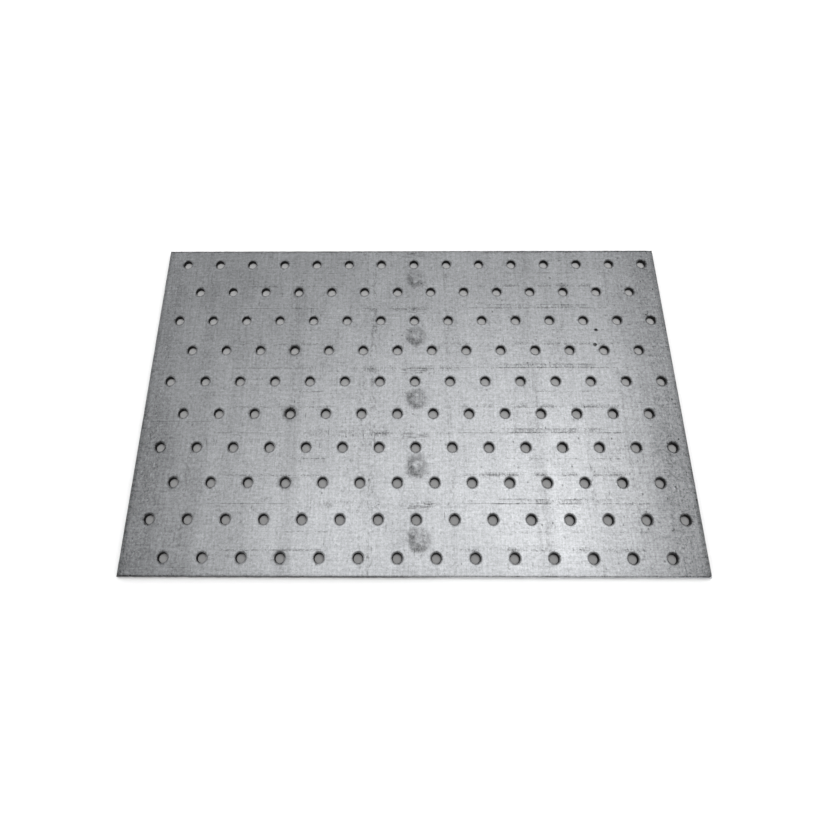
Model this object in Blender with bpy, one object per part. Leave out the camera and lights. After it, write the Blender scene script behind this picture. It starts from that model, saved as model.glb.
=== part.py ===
"""A flat sheet of perforated steel: one piece of plate with staggered rows of round punched holes.

It lies on the ground plane. +X runs along the rows, +Y runs across them and +Z is up.
The long rows and the short rows alternate; a short row holds one hole fewer and sits half a pitch over.
All sizes are in metres.
"""

import math

import bmesh
import bpy

# Driving sizes. The number of holes is not one of them: it follows from what the sheet has room for.
SHEET_LENGTH = 0.300  # along the rows
SHEET_WIDTH = 0.190  # across the rows
THICKNESS = 0.003
HOLE_DIAMETER = 0.0055
HOLE_PITCH = 0.020  # centre to centre along a row
ROW_SPACING = 0.019  # from one row to the next
PATTERN_OFFSET = 0.002  # the sheet is cut a little off the middle of the pattern, towards -X
LEAST_EDGE_LAND = 0.004  # least metal left between a hole and the edge of the sheet

HOLE_SIDES = 12  # flats that stand for a round hole


def clear_scene():
    for obj in list(bpy.data.objects):
        bpy.data.objects.remove(obj)


def most_that_fit(span, step):
    """How many holes, one step apart, keep their whole circle and its land inside the span."""
    room = span - HOLE_DIAMETER - 2 * LEAST_EDGE_LAND
    return 1 + math.floor(room / step + 1e-6)


def hole_centres():
    """Centre of every hole, starting with the row at +Y, which is a long one."""
    long_row = most_that_fit(SHEET_LENGTH - 2 * abs(PATTERN_OFFSET), HOLE_PITCH)
    rows = most_that_fit(SHEET_WIDTH, ROW_SPACING)
    centres = []
    for row in range(rows):
        count = long_row - row % 2
        y = ((rows - 1) / 2 - row) * ROW_SPACING
        for place in range(count):
            x = PATTERN_OFFSET + (place - (count - 1) / 2) * HOLE_PITCH
            centres.append((x, y))
    return centres


def add_closed_line(curve, points):
    line = curve.splines.new("POLY")
    line.points.add(len(points) - 1)
    for point, (x, y) in zip(line.points, points):
        point.co = (x, y, 0.0, 1.0)
    line.use_cyclic_u = True


def sheet_outline():
    half_length = SHEET_LENGTH / 2
    half_width = SHEET_WIDTH / 2
    return [
        (-half_length, -half_width),
        (half_length, -half_width),
        (half_length, half_width),
        (-half_length, half_width),
    ]


def hole_outline(centre):
    radius = HOLE_DIAMETER / 2
    points = []
    for side in range(HOLE_SIDES):
        turn = 2 * math.pi * (side + 0.5) / HOLE_SIDES
        points.append((centre[0] + radius * math.cos(turn), centre[1] + radius * math.sin(turn)))
    return points


def steel():
    """Bare cold-rolled steel: grey, a little cool, with a dull mill sheen."""
    material = bpy.data.materials.new("sheet_steel")
    material.use_nodes = True
    surface = material.node_tree.nodes["Principled BSDF"]
    surface.inputs["Base Color"].default_value = (0.42, 0.44, 0.46, 1.0)
    surface.inputs["Metallic"].default_value = 1.0
    surface.inputs["Roughness"].default_value = 0.45
    return material


def perforated_sheet():
    """The whole sheet, cut from one flat drawing: the outline, with every hole as an island inside it."""
    drawing = bpy.data.curves.new("sheet_drawing", "CURVE")
    drawing.dimensions = "2D"
    drawing.fill_mode = "BOTH"
    drawing.extrude = THICKNESS / 2
    add_closed_line(drawing, sheet_outline())
    for centre in hole_centres():
        add_closed_line(drawing, hole_outline(centre))
    guide = bpy.data.objects.new("sheet_drawing", drawing)
    bpy.context.scene.collection.objects.link(guide)
    bpy.context.view_layer.update()

    graph = bpy.context.evaluated_depsgraph_get()
    mesh = bpy.data.meshes.new_from_object(guide.evaluated_get(graph))
    bpy.data.objects.remove(guide)
    mesh.name = "perforated_sheet"
    for vertex in mesh.vertices:
        vertex.co.z += THICKNESS / 2
    return mesh


def weld(mesh):
    """Joins the rims of the two flat faces to the walls between them."""
    shape = bmesh.new()
    shape.from_mesh(mesh)
    bmesh.ops.remove_doubles(shape, verts=shape.verts, dist=0.00001)
    bmesh.ops.recalc_face_normals(shape, faces=shape.faces)
    shape.to_mesh(mesh)
    shape.free()


clear_scene()
parts = bpy.data.collections.new("perforated_steel_sheet")
bpy.context.scene.collection.children.link(parts)

sheet_mesh = perforated_sheet()
weld(sheet_mesh)
sheet_mesh.materials.clear()
sheet_mesh.materials.append(steel())
sheet = bpy.data.objects.new("perforated_sheet", sheet_mesh)
parts.objects.link(sheet)

# The hole walls read as round, while the flat faces and the cut edges stay crisp.
bpy.context.view_layer.objects.active = sheet
sheet.select_set(True)
bpy.ops.object.shade_smooth()
sheet_mesh.set_sharp_from_angle(angle=math.radians(40))
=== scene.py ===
# %% [markdown]
# # A punched steel sheet
#
# The object is one flat sheet of bare mild steel with staggered rows of round holes. It was cut
# from a strip that had run through a press, two rows of holes at each stroke, so the same marks
# come back every second row. This lesson loads the measured sheet, models the fine shape that
# punching and shearing leave on it, builds the finish of rolled steel in nodes, and lights it.

# %% Load the measured sheet
import math

import bmesh
import bpy
from mathutils import Matrix, Vector, noise


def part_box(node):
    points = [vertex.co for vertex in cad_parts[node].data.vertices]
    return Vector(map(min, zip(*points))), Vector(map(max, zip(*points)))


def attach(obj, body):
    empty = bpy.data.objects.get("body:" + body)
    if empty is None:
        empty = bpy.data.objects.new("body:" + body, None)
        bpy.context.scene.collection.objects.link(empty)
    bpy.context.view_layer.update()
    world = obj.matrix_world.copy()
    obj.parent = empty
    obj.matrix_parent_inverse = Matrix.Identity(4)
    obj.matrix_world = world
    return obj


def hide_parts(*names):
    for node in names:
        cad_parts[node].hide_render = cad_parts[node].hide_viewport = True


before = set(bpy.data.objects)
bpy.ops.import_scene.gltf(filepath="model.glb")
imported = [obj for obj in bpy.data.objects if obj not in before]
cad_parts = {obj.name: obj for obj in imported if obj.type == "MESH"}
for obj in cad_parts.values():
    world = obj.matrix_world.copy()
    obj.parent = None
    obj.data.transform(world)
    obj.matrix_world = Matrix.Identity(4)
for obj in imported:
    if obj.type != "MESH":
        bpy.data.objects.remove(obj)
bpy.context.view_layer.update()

sheet_low, sheet_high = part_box("perforated_sheet")
sheet_size = sheet_high - sheet_low
print("sheet", [round(1000 * side, 2) for side in sheet_size], "mm")

# %% [markdown]
# The hole pattern is the one that the measured sheet has: rows 19 mm apart, holes 20 mm apart in
# a row, and every second row moved over by half a step and one hole shorter. The row furthest
# from the front edge is a long one. The whole pattern sits 2 mm to the right of the middle.

# %% The hole pattern
MM = 0.001
HOLE_STEP = 20 * MM
ROW_STEP = 19 * MM
BORE_RADIUS = 2.75 * MM
PATTERN_SHIFT = 2 * MM
ROWS = 10
LONG_ROW = 15


def hole_centres():
    """Yields (x, y) of every hole, from the far row to the near one."""
    for row in range(ROWS):
        count = LONG_ROW - row % 2
        y = ((ROWS - 1) / 2 - row) * ROW_STEP
        for place in range(count):
            yield PATTERN_SHIFT + (place - (count - 1) / 2) * HOLE_STEP, y


print("holes", len(list(hole_centres())))

# %% [markdown]
# The sheet lies with its break-out side up. There the metal gave way a little outside the punch,
# so each hole is widest at its mouth and narrows downwards, and the leveller rolls have since
# pressed the mouth's edge soft. The flat drawing of the sheet is filled, extruded down by its
# thickness, drawn in at the lower end of each hole, and then the rims are rounded with a bevel.
# The rounding is wider than it is deep, so the bevelled rim is squeezed upwards afterwards, and
# points that the bevel pushed past the outline are brought back to it.

# %% Flat drawing of the sheet
HOLE_SIDES = 40
EDGE_STEP = 1.25 * MM
top = sheet_high.z
bottom = sheet_low.z

sheet = bmesh.new()
outline = bmesh.ops.create_grid(sheet, x_segments=1, y_segments=1, size=0.5)["verts"]
bmesh.ops.scale(sheet, vec=(sheet_size.x, sheet_size.y, 1), verts=outline)
middle = (sheet_low + sheet_high) / 2
bmesh.ops.translate(sheet, vec=(middle.x, middle.y, top), verts=outline)
bmesh.ops.delete(sheet, geom=sheet.faces[:], context="FACES_ONLY")
for edge in sheet.edges[:]:
    pieces = round(edge.calc_length() / EDGE_STEP)
    bmesh.ops.subdivide_edges(sheet, edges=[edge], cuts=pieces - 1)
for x, y in hole_centres():
    rim = bmesh.ops.create_circle(sheet, cap_ends=False, segments=HOLE_SIDES, radius=BORE_RADIUS)
    bmesh.ops.translate(sheet, vec=(x, y, top), verts=rim["verts"])
print("drawn edges", len(sheet.edges))

# %% [markdown]
# Sheared edges are never quite straight. Each point of the outline moves inwards by up to a
# quarter of a millimetre on the two cut ends, and by much less on the slit sides. The near cut also
# fell a little short of the middle between two rows.

# %% Uneven cut edges
CUT_WANDER = 0.16 * MM
SLIT_WANDER = 0.03 * MM
NEAR_CUT_SHORT = 0.35 * MM


def on_cut_end(point):
    return abs(abs(point.y - middle.y) - sheet_size.y / 2) < 0.01 * MM


def on_slit_side(point):
    return abs(abs(point.x - middle.x) - sheet_size.x / 2) < 0.01 * MM


for vertex in sheet.verts:
    place = vertex.co.copy()
    if on_cut_end(place) and not on_slit_side(place):
        torn = abs(noise.noise(place * 260)) + abs(noise.noise(place * 900))
        vertex.co.y -= math.copysign(torn * CUT_WANDER, place.y)
    elif on_slit_side(place) and not on_cut_end(place):
        vertex.co.x -= math.copysign(abs(noise.noise(place * 90)) * SLIT_WANDER, place.x)
    if on_cut_end(place) and place.y < middle.y:
        vertex.co.y += NEAR_CUT_SHORT
print("near cut at", round(1000 * min(vertex.co.y for vertex in sheet.verts), 2), "mm")

# %% Fill the face and give it thickness
BORE_DRAW_IN = 0.52 * MM


def nearest_hole(point):
    row = round((ROWS - 1) / 2 - point.y / ROW_STEP)
    stagger = (row % 2) / 2
    place = round((point.x - PATTERN_SHIFT) / HOLE_STEP - stagger) + stagger
    return Vector((PATTERN_SHIFT + place * HOLE_STEP, ((ROWS - 1) / 2 - row) * ROW_STEP, point.z))


bmesh.ops.triangle_fill(sheet, edges=sheet.edges[:], use_beauty=True)
drop = bmesh.ops.extrude_face_region(sheet, geom=sheet.faces[:])
lower = [item for item in drop["geom"] if isinstance(item, bmesh.types.BMVert)]
bmesh.ops.translate(sheet, vec=(0, 0, bottom - top), verts=lower)
for vertex in lower:
    from_centre = vertex.co - nearest_hole(vertex.co)
    if from_centre.length < 1.01 * BORE_RADIUS:
        vertex.co -= from_centre.normalized() * BORE_DRAW_IN
bmesh.ops.recalc_face_normals(sheet, faces=sheet.faces[:])
print("faces", len(sheet.faces))

# %% [markdown]
# The rounding at each mouth is about 0.7 mm wide and a third of a millimetre deep. Along the
# edges of the sheet and on the underside it is smaller. The rims are found by height: an edge
# that lies in a face of the sheet and borders an upright wall.

# %% Rounded rims
MOUTH_ROUND = 0.70 * MM
EDGE_ROUND = 0.50 * MM
UNDER_ROUND = 0.20 * MM
DEPTH_SHARE = 0.5
RIM_ZONE = 1.5 * MM
HAIR = 0.001 * MM
BEVEL_DEEPEST = 1.2 * MM


def on_rim_of_sheet(point):
    return (
        abs(point.x - middle.x) > sheet_size.x / 2 - RIM_ZONE
        or abs(point.y - middle.y) > sheet_size.y / 2 - RIM_ZONE
    )


def rims_at(height, outer):
    """Edges at that height between a face of the sheet and a wall, of the outline or the holes."""
    return [
        edge for edge in sheet.edges
        if all(abs(corner.co.z - height) < HAIR for corner in edge.verts)
        and any(abs(face.normal.z) < 0.5 for face in edge.link_faces)
        and all(on_rim_of_sheet(corner.co) for corner in edge.verts) == outer
    ]


for height, outer, width, segments in (
    (top, False, MOUTH_ROUND, 4), (top, True, EDGE_ROUND, 3),
    (bottom, False, UNDER_ROUND, 2), (bottom, True, UNDER_ROUND, 2),
):
    bmesh.ops.bevel(
        sheet, geom=rims_at(height, outer), offset=width, offset_type="OFFSET", affect="EDGES",
        segments=segments, profile=0.5, material=-1, clamp_overlap=True,
    )
for vertex in sheet.verts:
    depth = top - vertex.co.z
    if HAIR < depth < BEVEL_DEEPEST:
        vertex.co.z = top - depth * DEPTH_SHARE
    vertex.co.x = min(max(vertex.co.x, sheet_low.x), sheet_high.x)
    vertex.co.y = min(max(vertex.co.y, sheet_low.y), sheet_high.y)
bmesh.ops.recalc_face_normals(sheet, faces=sheet.faces[:])
print("faces with rounded rims", len(sheet.faces))

# %% Sort the faces by what cut them
FACE, BORE, EDGE, UNDERSIDE = range(4)
LEVEL = 0.99
STEEP = 0.5
for face in sheet.faces:
    centre = face.calc_center_median()
    if on_rim_of_sheet(centre) and abs(face.normal.z) < LEVEL:
        face.material_index = EDGE
    elif face.normal.z > STEEP:
        face.material_index = FACE
    elif face.normal.z < -STEEP:
        face.material_index = UNDERSIDE
    else:
        face.material_index = BORE
    face.smooth = True

sheet_mesh = bpy.data.meshes.new("punched_sheet")
sheet.to_mesh(sheet_mesh)
sheet.free()
sheet_mesh.set_sharp_from_angle(angle=math.radians(35))
punched_sheet = bpy.data.objects.new("punched_sheet", sheet_mesh)
bpy.context.scene.collection.objects.link(punched_sheet)
flat_land = punched_sheet.modifiers.new("flat_land", "WEIGHTED_NORMAL")
flat_land.keep_sharp = True
print("punched_sheet", len(sheet_mesh.polygons), "faces")

# %% [markdown]
# The finish is built in nodes from a few small helpers. Places on the sheet are read in steps of
# the hole pattern: across runs along a row with zero at the middle hole, and down counts rows
# from the far one. A mark that is tied to the press can then be placed by row and hole.

# %% Node helpers


def value(tree, operation, *inputs):
    """One Math node; each input is a number or another node's output."""
    node = tree.nodes.new("ShaderNodeMath")
    node.operation = operation
    for socket, given in zip(node.inputs, inputs):
        if isinstance(given, (int, float)):
            socket.default_value = given
        else:
            tree.links.new(given, socket)
    return node.outputs[0]


def ramp(tree, given, low, high, to_low=0.0, to_high=1.0):
    """Smoothly maps low..high to to_low..to_high, and holds the ends."""
    node = tree.nodes.new("ShaderNodeMapRange")
    node.interpolation_type = "SMOOTHSTEP"
    tree.links.new(given, node.inputs["Value"])
    limits = {"From Min": low, "From Max": high, "To Min": to_low, "To Max": to_high}
    for name, limit in limits.items():
        node.inputs[name].default_value = limit
    return node.outputs["Result"]


def stripe(tree, given, centre, half_width, soft):
    """1 on a stripe round the centre, falling to 0 over the soft margin."""
    distance = value(tree, "ABSOLUTE", value(tree, "SUBTRACT", given, centre))
    return ramp(tree, distance, half_width, half_width + soft, 1.0, 0.0)


def span(tree, given, start, end, soft):
    """1 between start and end, falling to 0 over the soft margin."""
    return stripe(tree, given, (start + end) / 2, (end - start) / 2, soft)


def grain(tree, place, scale, stretch=(1, 1, 1), detail=2.0, roughness=0.5, move=(0, 0, 0)):
    """Noise on a stretched copy of the place, from 0 to 1 round 0.5."""
    mapping = tree.nodes.new("ShaderNodeMapping")
    mapping.inputs["Scale"].default_value = stretch
    mapping.inputs["Location"].default_value = move
    tree.links.new(place, mapping.inputs["Vector"])
    node = tree.nodes.new("ShaderNodeTexNoise")
    node.inputs["Scale"].default_value = scale
    node.inputs["Detail"].default_value = detail
    node.inputs["Roughness"].default_value = roughness
    tree.links.new(mapping.outputs["Vector"], node.inputs["Vector"])
    return node.outputs["Fac"]


def total(tree, *parts):
    """Sum of (output, weight) pairs."""
    running = 0.0
    for output, weight in parts:
        running = value(tree, "MULTIPLY_ADD", output, weight, running)
    return running


def pattern_places(tree, place):
    """Steps across and down the pattern, and metres to the middle of the nearest hole."""
    axes = tree.nodes.new("ShaderNodeSeparateXYZ")
    tree.links.new(place, axes.inputs["Vector"])
    from_middle = value(tree, "SUBTRACT", axes.outputs["X"], PATTERN_SHIFT)
    across = value(tree, "DIVIDE", from_middle, HOLE_STEP)
    down = value(
        tree, "SUBTRACT", (ROWS - 1) / 2, value(tree, "DIVIDE", axes.outputs["Y"], ROW_STEP)
    )
    row = value(tree, "ROUND", down)
    stagger = value(tree, "MULTIPLY", value(tree, "FLOORED_MODULO", row, 2.0), 0.5)
    shifted = value(tree, "SUBTRACT", across, stagger)
    x = value(tree, "SUBTRACT", shifted, value(tree, "ROUND", shifted))
    y = value(tree, "SUBTRACT", down, row)
    squared = total(
        tree, (value(tree, "MULTIPLY", x, x), HOLE_STEP**2),
        (value(tree, "MULTIPLY", y, y), ROW_STEP**2),
    )
    return across, down, value(tree, "SQRT", squared)


def scattered(tree, place, scale, stretch, share, radius):
    """1 inside small round or stretched specks, set in a random share of the cells."""
    mapping = tree.nodes.new("ShaderNodeMapping")
    mapping.inputs["Scale"].default_value = stretch
    tree.links.new(place, mapping.inputs["Vector"])
    node = tree.nodes.new("ShaderNodeTexVoronoi")
    node.voronoi_dimensions = "2D"
    node.inputs["Scale"].default_value = scale
    tree.links.new(mapping.outputs["Vector"], node.inputs["Vector"])
    pick = tree.nodes.new("ShaderNodeSeparateColor")
    tree.links.new(node.outputs["Color"], pick.inputs["Color"])
    chosen = value(tree, "LESS_THAN", pick.outputs[0], share)
    weight = value(tree, "MULTIPLY_ADD", pick.outputs[1], 0.7, 0.3)
    speck = ramp(tree, node.outputs["Distance"], radius * 0.5, radius * 1.5, 1.0, 0.0)
    return value(tree, "MULTIPLY", value(tree, "MULTIPLY", speck, chosen), weight)


# %% [markdown]
# Every face of the sheet came off the same rolling mill, so one node group makes the mill grain
# for all of them: a fine even grain, streaks along the rolling direction, and slow clouds where
# the oxide is thicker. It gives a tone, a roughness and a height, each round zero.

# %% Mill grain


def new_group(name, inputs, outputs):
    """A shader node group with those sockets, and its input and output nodes."""
    group = bpy.data.node_groups.new(name, "ShaderNodeTree")
    for label, kind, default in inputs:
        socket = group.interface.new_socket(label, in_out="INPUT", socket_type=kind)
        if default is not None:
            socket.default_value = default
    for label in outputs:
        group.interface.new_socket(label, in_out="OUTPUT", socket_type="NodeSocketFloat")
    return group, group.nodes.new("NodeGroupInput"), group.nodes.new("NodeGroupOutput")


mill_grain, grain_in, grain_out = new_group(
    "mill_grain",
    [("Place", "NodeSocketVector", None), ("Strength", "NodeSocketFloat", 1.0)],
    ["Tone", "Roughness", "Height"],
)
spot = grain_in.outputs["Place"]
centred = {
    "salt": value(mill_grain, "SUBTRACT", grain(mill_grain, spot, 1500, detail=1.0), 0.5),
    "grain": value(mill_grain, "SUBTRACT", grain(mill_grain, spot, 620, detail=2.0), 0.5),
    "across": value(mill_grain, "SUBTRACT", grain(mill_grain, spot, 420, (0.25, 3, 1)), 0.5),
    "along": value(mill_grain, "SUBTRACT", grain(mill_grain, spot, 420, (3, 0.12, 1)), 0.5),
    "streak": value(mill_grain, "SUBTRACT", grain(mill_grain, spot, 120, (2, 0.03, 1)), 0.5),
    "cloud": value(mill_grain, "SUBTRACT", grain(mill_grain, spot, 55, (1, 0.6, 1), 3.0), 0.5),
}
pits = ramp(mill_grain, grain(mill_grain, spot, 800, detail=1.0, move=(0.6, 0.1, 0)), 0.34, 0.26)
tone = total(
    mill_grain, (centred["salt"], 0.66), (centred["grain"], 0.66), (centred["across"], 0.40),
    (centred["along"], 0.42), (centred["streak"], 0.12), (centred["cloud"], 0.24), (pits, -0.22),
)
rough = total(mill_grain, (centred["grain"], 0.10), (centred["cloud"], 0.12), (centred["along"], 0.08))
height = total(
    mill_grain, (centred["salt"], 0.35), (centred["grain"], 0.35), (centred["along"], 0.3)
)
for label, output in (("Tone", tone), ("Roughness", rough), ("Height", height)):
    scaled = value(mill_grain, "MULTIPLY", output, grain_in.outputs["Strength"])
    mill_grain.links.new(scaled, grain_out.inputs[label])
print("mill_grain", len(mill_grain.nodes), "nodes")

# %% [markdown]
# Each material starts the same way: Object coordinates, a Principled shader for metal, and the
# mill grain. Steel reflects rather than scatters, so the tone goes into the metal's own colour.

# %% A bare steel material
DARKEST_FACTOR = 0.02


def steel_material(name):
    """A metal's shader tree, its shader, and the place on the sheet."""
    material = bpy.data.materials.new(name)
    material.use_nodes = True
    tree = material.node_tree
    surface = tree.nodes["Principled BSDF"]
    surface.inputs["Metallic"].default_value = 1.0
    place = tree.nodes.new("ShaderNodeTexCoord").outputs["Object"]
    return tree, surface, place


def add_mill_grain(tree, place, strength):
    node = tree.nodes.new("ShaderNodeGroup")
    node.node_tree = mill_grain
    node.inputs["Strength"].default_value = strength
    tree.links.new(place, node.inputs["Place"])
    return node.outputs


def colour_from_tone(tree, surface, base, tone):
    """Base colour times one plus the tone, which never falls to nothing."""
    factor = value(tree, "MAXIMUM", value(tree, "ADD", tone, 1.0), DARKEST_FACTOR)
    node = tree.nodes.new("ShaderNodeVectorMath")
    node.operation = "SCALE"
    node.inputs[0].default_value = base
    tree.links.new(factor, node.inputs["Scale"])
    tree.links.new(node.outputs["Vector"], surface.inputs["Base Color"])


def bump(tree, surface, height, distance, strength):
    """Bumps the shader's normal by the height, over a distance in metres."""
    node = tree.nodes.new("ShaderNodeBump")
    node.inputs["Strength"].default_value = strength
    node.inputs["Distance"].default_value = distance
    tree.links.new(height, node.inputs["Height"])
    tree.links.new(node.outputs["Normal"], surface.inputs["Normal"])


# %% [markdown]
# The upper face carries the history of the strip. Press marks come back at every stroke, that is
# every two rows: a thin broken line that the stripper plate scratches, a few fainter ones, a grey
# oily ring from a pad in the middle, and short smears behind it. Lines along the strip come from
# the feed rollers, and both sides are scuffed by the guides.

# %% Upper face: where things are
tree, surface, place = steel_material("rolled_face")
across, down, from_hole = pattern_places(tree, place)
stroke = value(tree, "FLOORED_MODULO", down, 2.0)
grains = add_mill_grain(tree, place, 1.0)

print("holes touched by each stroke", 2 * LONG_ROW - 1)

# %% Upper face: lines from the press
LINE_SOFT = 0.012
REACH_SOFT = 0.25
GAP_SOFT = 0.05
patch = grain(tree, place, 130, (1, 0.25, 1), 1.0, move=(0.3, 0.1, 0))
long_dash = grain(tree, place, 700, (0.30, 2.0, 1), 1.0)
dots = grain(tree, place, 1000, (0.75, 2.2, 1), 1.5, move=(0.5, 0.5, 0))
ticks = grain(tree, place, 1100, (1.8, 0.50, 1), 1.5)


def press_line(texture, row, start, end, half_width, strength, gaps):
    """A broken line across the strip, at the same place in every stroke."""
    line = stripe(tree, stroke, row, half_width, LINE_SOFT)
    reach = span(tree, across, start, end, REACH_SOFT)
    broken = ramp(tree, total(tree, (texture, 0.6), (patch, 0.4)), gaps, gaps + GAP_SOFT)
    return value(tree, "MULTIPLY", value(tree, "MULTIPLY", line, reach), broken), strength


marks = [
    press_line(long_dash, 1.580, 1.3, 4.0, 0.004, -0.30, 0.41),
    press_line(dots, 1.578, 2.2, 6.0, 0.012, -0.36, 0.48),
    press_line(dots, 1.462, 2.3, 5.0, 0.010, -0.34, 0.47),
    press_line(ticks, 1.515, 2.8, 5.0, 0.045, -0.24, 0.48),
    press_line(long_dash, 1.590, -5.4, -3.1, 0.004, -0.36, 0.43),
    press_line(long_dash, 1.250, -7.1, -5.8, 0.003, -0.24, 0.45),
    press_line(dots, 0.330, 2.2, 5.9, 0.014, -0.28, 0.51),
    press_line(dots, 0.330, -3.3, -2.3, 0.012, -0.36, 0.50),
    press_line(dots, 0.795, 1.2, 5.8, 0.026, -0.30, 0.515),
    press_line(ticks, 0.770, 2.0, 5.6, 0.050, -0.20, 0.52),
    press_line(dots, 0.810, -5.0, -2.4, 0.018, -0.36, 0.50),
    press_line(dots, 1.600, -1.2, 1.1, 0.026, -0.34, 0.52),
    press_line(ticks, 1.600, -3.0, 1.1, 0.090, -0.22, 0.53),
]
print("press lines", len(marks))

# %% [markdown]
# The ring left by the pad is a soft circle with a ragged edge, darker at its lower left. The
# distance to its middle is measured in steps of the pattern and shaken by noise, so no two rings
# come out alike.

# %% Upper face: pad rings and smears
RING_ROW = 0.53
RING_ACROSS = 0.05
RING_RADIUS = 0.20
RING_RAGGED = 0.22
shake = value(tree, "SUBTRACT", grain(tree, place, 260, detail=3.0, roughness=0.6), 0.5)
ring_x = value(tree, "SUBTRACT", across, RING_ACROSS)
ring_y = value(tree, "SUBTRACT", stroke, RING_ROW)
ring_far = value(
    tree, "SQRT",
    total(tree, (value(tree, "MULTIPLY", ring_x, ring_x), 1.0),
          (value(tree, "MULTIPLY", ring_y, ring_y), 0.75)),
)
ring_far = value(tree, "MULTIPLY_ADD", shake, RING_RAGGED, ring_far)
ring = stripe(tree, ring_far, RING_RADIUS, 0.035, 0.10)
lower_left = ramp(tree, total(tree, (ring_y, 1.0), (ring_x, -1.2)), -0.25, 0.25, 0.35, 1.0)
blot = grain(tree, place, 420, detail=3.0, roughness=0.65, move=(0.9, 0.3, 0))
inside_ring = ramp(tree, ring_far, 0.14, 0.42, 1.0, 0.0)
haze = value(tree, "MULTIPLY", inside_ring, ramp(tree, blot, 0.34, 0.60))
marks.append((value(tree, "MULTIPLY", ring, lower_left), -0.34))
marks.append((haze, -0.26))

smear_grain = grain(tree, place, 520, (0.4, 3.2, 1), 2.0)
smear_zone = value(
    tree, "MULTIPLY", span(tree, across, -0.32, 0.28, 0.12), stripe(tree, stroke, 1.68, 0.07, 0.07)
)
marks.append((value(tree, "MULTIPLY", smear_zone, ramp(tree, smear_grain, 0.47, 0.58)), -0.30))
print("marks with rings and smears", len(marks))

# %% [markdown]
# Feed rollers leave faint bands along the strip, and dotted lines where grit was caught under
# them. The scuffed sides have dark specks and a few bright scratches.

# %% Upper face: feed marks and scuffed sides
FEED_SOFT = 0.06
BAND_SOFT = 0.15
SIDE_SOFT = 0.15
grit = grain(tree, place, 560, (1.6, 0.7, 1), 1.0, move=(0.7, 0.2, 0))
feed_patch = grain(tree, place, 60, (1, 1, 1), 2.0, move=(0.1, 0.9, 0))
dotted = ramp(tree, total(tree, (grit, 0.6), (feed_patch, 0.4)), 0.50, 0.60)
for where, half_width, strength in (
    (-6.15, 0.03, -0.16), (-4.80, 0.03, -0.16), (-1.20, 0.06, -0.24), (0.95, 0.03, -0.16),
    (3.40, 0.03, -0.12), (4.70, 0.02, -0.14), (5.80, 0.02, -0.16), (-1.45, 0.04, -0.14),
):
    line = stripe(tree, across, where, half_width, FEED_SOFT)
    marks.append((value(tree, "MULTIPLY", line, dotted), strength))
for where, half_width, strength in (
    (-5.90, 0.12, -0.07), (-5.45, 0.10, 0.05), (-3.40, 0.10, -0.07), (3.30, 0.15, -0.04),
):
    marks.append((stripe(tree, across, where, half_width, BAND_SOFT), strength))

speck = grain(tree, place, 1000, (1, 0.7, 1), 1.5, move=(0.2, 0.4, 0))
wander = value(tree, "SUBTRACT", grain(tree, place, 70, (0.2, 1, 1), 2.0), 0.5)
scuffed = value(tree, "MULTIPLY_ADD", wander, 0.9, across)
for start, end, dark, bright in ((-7.38, -7.08, -0.18, 0.34), (6.80, 7.25, -0.20, 0.16)):
    side = span(tree, scuffed, start, end, SIDE_SOFT)
    marks.append((value(tree, "MULTIPLY", side, ramp(tree, speck, 0.57, 0.66)), dark))
    marks.append((value(tree, "MULTIPLY", side, ramp(tree, speck, 0.38, 0.30)), bright))
print("marks with feed lines and scuffs", len(marks))

# %% [markdown]
# One hole of the pattern has a dark halo round it at every second row. Two crumbs
# of scale are stuck to the right half of the sheet.

# %% Upper face: dark halo and crumbs


def spot_at(spot_across, spot_down, radius, soft):
    """1 on a ragged spot, falling to 0 over the soft margin; sizes are in steps across."""
    x = value(tree, "SUBTRACT", across, spot_across)
    y = value(tree, "SUBTRACT", down, spot_down)
    far = value(tree, "SQRT", total(
        tree, (value(tree, "MULTIPLY", x, x), 1.0), (value(tree, "MULTIPLY", y, y), 0.9)))
    return ramp(tree, value(tree, "MULTIPLY_ADD", shake, 0.10, far), radius, radius + soft, 1.0, 0.0)


HALO_HOLE_ACROSS = -3.5
HALO_DARKENING = {1: -0.16, 3: -0.24, 5: -0.38, 7: -0.18, 9: -0.16}
CRUMBS = ((5.33, 2.33), (5.25, 2.83))
CRUMB_SIZE = 0.03
for row, strength in HALO_DARKENING.items():
    marks.append((spot_at(HALO_HOLE_ACROSS, row, 0.15, 0.12), strength))
for crumb_across, crumb_down in CRUMBS:
    marks.append((spot_at(crumb_across, crumb_down, CRUMB_SIZE, CRUMB_SIZE), -0.85))
print("crumbs", len(CRUMBS), "darkened halos", len(HALO_DARKENING))

# %% [markdown]
# The soft rounding of every mouth is painted darker, as painted shade. The land between the holes
# has small pits, more of them to the right, a few short scratches along the strip, and some bright
# flecks. Each kind is one scattered pattern, with its own size and share.

# %% Upper face: mouths, pits and flecks
# Painted shade in the rounding of each mouth.
mouth = ramp(tree, from_hole, 2.9 * MM, 3.8 * MM, 1.0, 0.0)
in_pattern = ramp(tree, value(tree, "ABSOLUTE", across), 7.21, 7.27, 1.0, 0.0)
marks.append((value(tree, "MULTIPLY", mouth, in_pattern), -0.46))

pitted = ramp(tree, total(tree, (feed_patch, 1.0), (across, 0.02)), 0.40, 0.62, 0.25, 1.0)
pit_marks = scattered(tree, place, 165, (1, 0.8, 1), 0.20, 0.075)
marks.append((value(tree, "MULTIPLY", pit_marks, pitted), -0.60))
marks.append((scattered(tree, place, 130, (1, 0.12, 1), 0.45, 0.030), -0.42))
marks.append((scattered(tree, place, 230, (1, 0.6, 1), 0.10, 0.070), 0.24))
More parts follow.
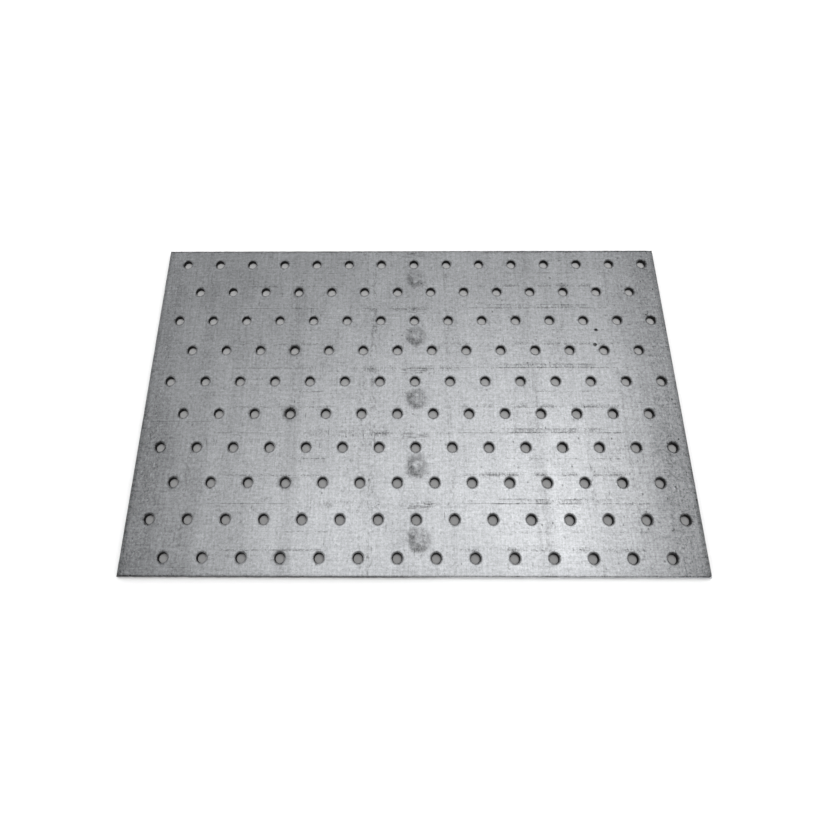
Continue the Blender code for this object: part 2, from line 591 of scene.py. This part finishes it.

# %% [markdown]
# The sheet is painted darker and a little rougher towards its two sides, most of all near the front
# corners, as painted shade, and lighter in one broad patch at the front left, as a painted highlight.
# The last one to three millimetres before each edge, where the face rolls over, are painted dark as
# painted shade, and the two cut ends have a torn line besides.

# %% Upper face: painted shade at the sides and rims, painted highlight
FRONT_FROM, FRONT_FULL = 3.5, 6.5
# Painted shade: darker towards both sides and the front corners.
marks.append((ramp(tree, across, 5.4, 7.2, 0.0, 1.0), -0.24))
marks.append((ramp(tree, across, -6.2, -7.6, 0.0, 1.0), -0.14))
in_front = ramp(tree, down, FRONT_FROM, FRONT_FULL)
near_right_painted_shade = value(tree, "MULTIPLY", ramp(tree, across, 3.9, 5.6), in_front)
marks.append((near_right_painted_shade, -0.10))
near_left_painted_shade = value(tree, "MULTIPLY", ramp(tree, across, -5.2, -7.2), in_front)
marks.append((near_left_painted_shade, -0.14))
# Painted highlight: a broad lighter patch at the front left.
marks.append((spot_at(-2.7, 8.6, 0.8, 1.6), 0.10))

torn = ramp(tree, total(tree, (dots, 0.5), (ticks, 0.5)), 0.42, 0.52)
to_cut_end = value(tree, "ABSOLUTE", value(tree, "SUBTRACT", down, (ROWS - 1) / 2))
cut_line = ramp(tree, to_cut_end, 4.94, 4.97)
marks.append((value(tree, "MULTIPLY", cut_line, torn), -0.50))
# Painted shade on the rolled-over rims: the last millimetres before each edge are painted darker.
for given, start, end, strength in (
    (down, 9.405, 9.450, -0.24), (down, -0.435, -0.470, -0.38),
    (across, -7.44, -7.57, -0.27), (across, 7.24, 7.37, -0.24),
):
    marks.append((ramp(tree, given, start, end), strength))

print("marks in all", len(marks))

# %% Upper face: put the finish together
FACE_STEEL = (0.276, 0.283, 0.292)
FACE_ROUGHNESS = 0.42
GRAIN_HEIGHT = 0.04 * MM
GRAIN_BUMP = 0.6
OIL_ROUGHNESS = 0.24
marks_tone = total(tree, *marks)
tone = value(tree, "ADD", grains["Tone"], marks_tone)
colour_from_tone(tree, surface, FACE_STEEL, tone)
roughness = total(tree, (grains["Roughness"], 1.0), (marks_tone, -0.25))
tree.links.new(value(tree, "ADD", roughness, FACE_ROUGHNESS), surface.inputs["Roughness"])
bump(tree, surface, grains["Height"], GRAIN_HEIGHT, GRAIN_BUMP)
oily = grain(tree, place, 90, (1, 0.5, 1), 2.0, move=(0.4, 0.8, 0))
film = ramp(tree, oily, 0.30, 0.70, 0.3, 0.6)
tree.links.new(value(tree, "MULTIPLY_ADD", grains["Tone"], 0.8, film), surface.inputs["Coat Weight"])
surface.inputs["Coat Roughness"].default_value = OIL_ROUGHNESS
print("rolled_face", len(tree.nodes), "nodes")

# %% [markdown]
# The bores and the cut edges were torn, not rolled. Their steel is darker and rougher, with
# streaks that run the way the tool moved, down through the sheet. The near cut is painted bright on
# its right half only; its darker left half is painted shadow.

# %% Bores, cut edges and underside
NEAR_CUT_BRIGHT_HALF = 4.0
TORN_HEIGHT = 0.05 * MM
TORN_TONE = {"punched_bore": 0.8, "sheared_edge": 0.8, "rolled_underside": 0.0}
for name, base, rough_at in (
    # The nearly black colour of the bores is partly painted shade inside each hole.
    ("punched_bore", (0.030, 0.030, 0.031), 0.60),
    ("sheared_edge", (0.100, 0.101, 0.104), 0.50),
    ("rolled_underside", (0.285, 0.292, 0.302), 0.45),
):
    tree, surface, place = steel_material(name)
    grains = add_mill_grain(tree, place, 1.2)
    torn = value(tree, "SUBTRACT", grain(tree, place, 900, (1, 1, 0.15), 2.0), 0.5)
    tone = value(tree, "MULTIPLY_ADD", torn, TORN_TONE[name], grains["Tone"])
    if name == "sheared_edge":
        across, down, from_hole = pattern_places(tree, place)
        # Painted shadow on the near cut: only its right half is brightened, and the left half stays
        # dark.
        near_cut = value(tree, "MULTIPLY", ramp(tree, down, 9.38, 9.44), ramp(tree, across, -1.2, 1.4))
        tone = value(tree, "MULTIPLY_ADD", near_cut, NEAR_CUT_BRIGHT_HALF, tone)
    colour_from_tone(tree, surface, base, tone)
    tree.links.new(value(tree, "ADD", grains["Roughness"], rough_at), surface.inputs["Roughness"])
    bump(tree, surface, grains["Height"], TORN_HEIGHT, GRAIN_BUMP)

for name in ("rolled_face", "punched_bore", "sheared_edge", "rolled_underside"):
    punched_sheet.data.materials.append(bpy.data.materials[name])

print("materials", [slot.name for slot in punched_sheet.data.materials])

# %% The sheet stands for the measured one
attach(punched_sheet, "root")
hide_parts("perforated_sheet")

# %% [markdown]
# The sheet lies on a plain white table that runs out of view on every side. A grey card a little
# smaller than the sheet lies under it as painted shade, so that the floor seen through the holes
# reads darker than the table. Its painted shade is lighter towards the far rows, and darker towards
# the wall of each hole, where less light reaches. Both are set just under the sheet.

# %% Table and card
TABLE_SIZE = 6
CARD_MARGIN = 2 * MM
CARD_FAR_PAINTED_SHADE, CARD_NEAR_PAINTED_SHADE = 0.76, 0.53
HOLE_WALL_PAINTED_SHADE = 0.72


def flat_paper(name, size_x, size_y, z, shade):
    """Lays a flat sheet of paper, and returns its shader tree and its shader."""
    bpy.ops.mesh.primitive_plane_add(size=1, location=(0, 0, z))
    paper = bpy.context.object
    paper.name = name
    paper.data.transform(Matrix.Diagonal((size_x, size_y, 1, 1)))
    paint = bpy.data.materials.new(name)
    paint.use_nodes = True
    surface = paint.node_tree.nodes["Principled BSDF"]
    surface.inputs["Base Color"].default_value = (shade, shade, shade, 1)
    surface.inputs["Roughness"].default_value = 0.9
    surface.inputs["Specular IOR Level"].default_value = 0.1
    paper.data.materials.append(paint)
    return paint.node_tree, surface


flat_paper("white_table", TABLE_SIZE, TABLE_SIZE, bottom - 0.08 * MM, 0.97)
card_x, card_y = (side - 2 * CARD_MARGIN for side in sheet_size.xy)
tree, surface = flat_paper("grey_card", card_x, card_y, bottom - 0.04 * MM, CARD_NEAR_PAINTED_SHADE)
place = tree.nodes.new("ShaderNodeTexCoord").outputs["Object"]
across, down, from_hole = pattern_places(tree, place)
# Painted shade on the card: lighter towards the far rows, darker near the wall of each hole.
shade = value(
    tree, "MULTIPLY", ramp(tree, down, 0.0, ROWS - 1, CARD_FAR_PAINTED_SHADE, CARD_NEAR_PAINTED_SHADE),
    ramp(tree, from_hole, 0.4 * BORE_RADIUS, 0.95 * BORE_RADIUS, 1.0, HOLE_WALL_PAINTED_SHADE),
)
tree.links.new(shade, surface.inputs["Base Color"])
print("card", round(1000 * card_x), "x", round(1000 * card_y), "mm")

# %% [markdown]
# The light is that of a white studio tent. Its walls are brightest to the left and right, dimmer
# behind the sheet, and darkest on the side of the viewer, who stands in the way. The roof is
# nearly dark except for the soft lamps, whose reflections lie on the steel. Near the ground the
# walls are an even white, so that the table runs into them without a line.

# %% Tent
tent = bpy.data.worlds.new("studio_tent")
bpy.context.scene.world = tent
tent.use_nodes = True
tree = tent.node_tree
axes = tree.nodes.new("ShaderNodeSeparateXYZ")
tree.links.new(tree.nodes.new("ShaderNodeTexCoord").outputs["Generated"], axes.inputs["Vector"])
sideways, behind, up = axes.outputs
sideways = value(tree, "MULTIPLY", sideways, sideways)
back = value(tree, "POWER", value(tree, "MAXIMUM", behind, 0.0), 2.0)
front = value(tree, "POWER", value(tree, "MINIMUM", behind, 0.0), 2.0)
walls = total(tree, (sideways, 2.3), (back, 1.8), (front, 0.8))
level = total(tree, (sideways, 1.0), (back, 1.0), (front, 1.0))
walls = value(tree, "DIVIDE", walls, value(tree, "MAXIMUM", level, 0.001))
walls = value(tree, "MULTIPLY", walls, ramp(tree, up, 0.50, 0.85, 1.0, 0.0))
tent_light = tree.nodes["Background"]
tent_light.inputs["Color"].default_value = (1, 1, 1, 1)
skirt = ramp(tree, up, 0.12, 0.40, 1.0, 0.0)
upper = value(tree, "MULTIPLY", value(tree, "ADD", walls, 0.12), value(tree, "SUBTRACT", 1.0, skirt))
tree.links.new(value(tree, "ADD", upper, skirt), tent_light.inputs["Strength"])
print("tent", len(tree.nodes), "nodes")

# %% Lamps


def soft_lamp(name, place, size, power):
    """A round lamp that faces the middle of the sheet; size in metres, power in watts."""
    lamp = bpy.data.lights.new(name, "AREA")
    lamp.shape = "DISK"
    lamp.size = size
    lamp.energy = power
    holder = bpy.data.objects.new(name, lamp)
    holder.location = place
    holder.rotation_euler = (-Vector(place)).to_track_quat("-Z", "Y").to_euler()
    bpy.context.scene.collection.objects.link(holder)


soft_lamp("roof_lamp", (0.15, 0.15, 1.2), 0.9, 3.0)
soft_lamp("back_lamp", (0.15, 0.35, 1.2), 0.9, 0.5)
soft_lamp("left_lamp", (-0.25, 0.15, 1.2), 0.6, 1.2)
soft_lamp("right_lamp", (0.33, 0.17, 1.2), 0.4, 2.1)
print("lamps", len(bpy.data.lights))

# %% [markdown]
# The camera looks down at the sheet from in front of its near edge. The picture is framed below
# the lens axis, which the vertical shift takes care of.

# %% Camera
view = bpy.data.cameras.new("view")
view.sensor_width = 36
view.lens = 34.19
view.shift_x = 0.0232
view.shift_y = -0.1967
view.clip_start = 0.01
camera = bpy.data.objects.new("view", view)
camera.location = (-0.0044, -0.14995, 0.42704)
camera.rotation_euler = [math.radians(turn) for turn in (30.046, 0.673, 0.239)]
bpy.context.scene.collection.objects.link(camera)
bpy.context.scene.camera = camera
bpy.context.scene.view_settings.view_transform = "Standard"
print("lens", view.lens, "mm")
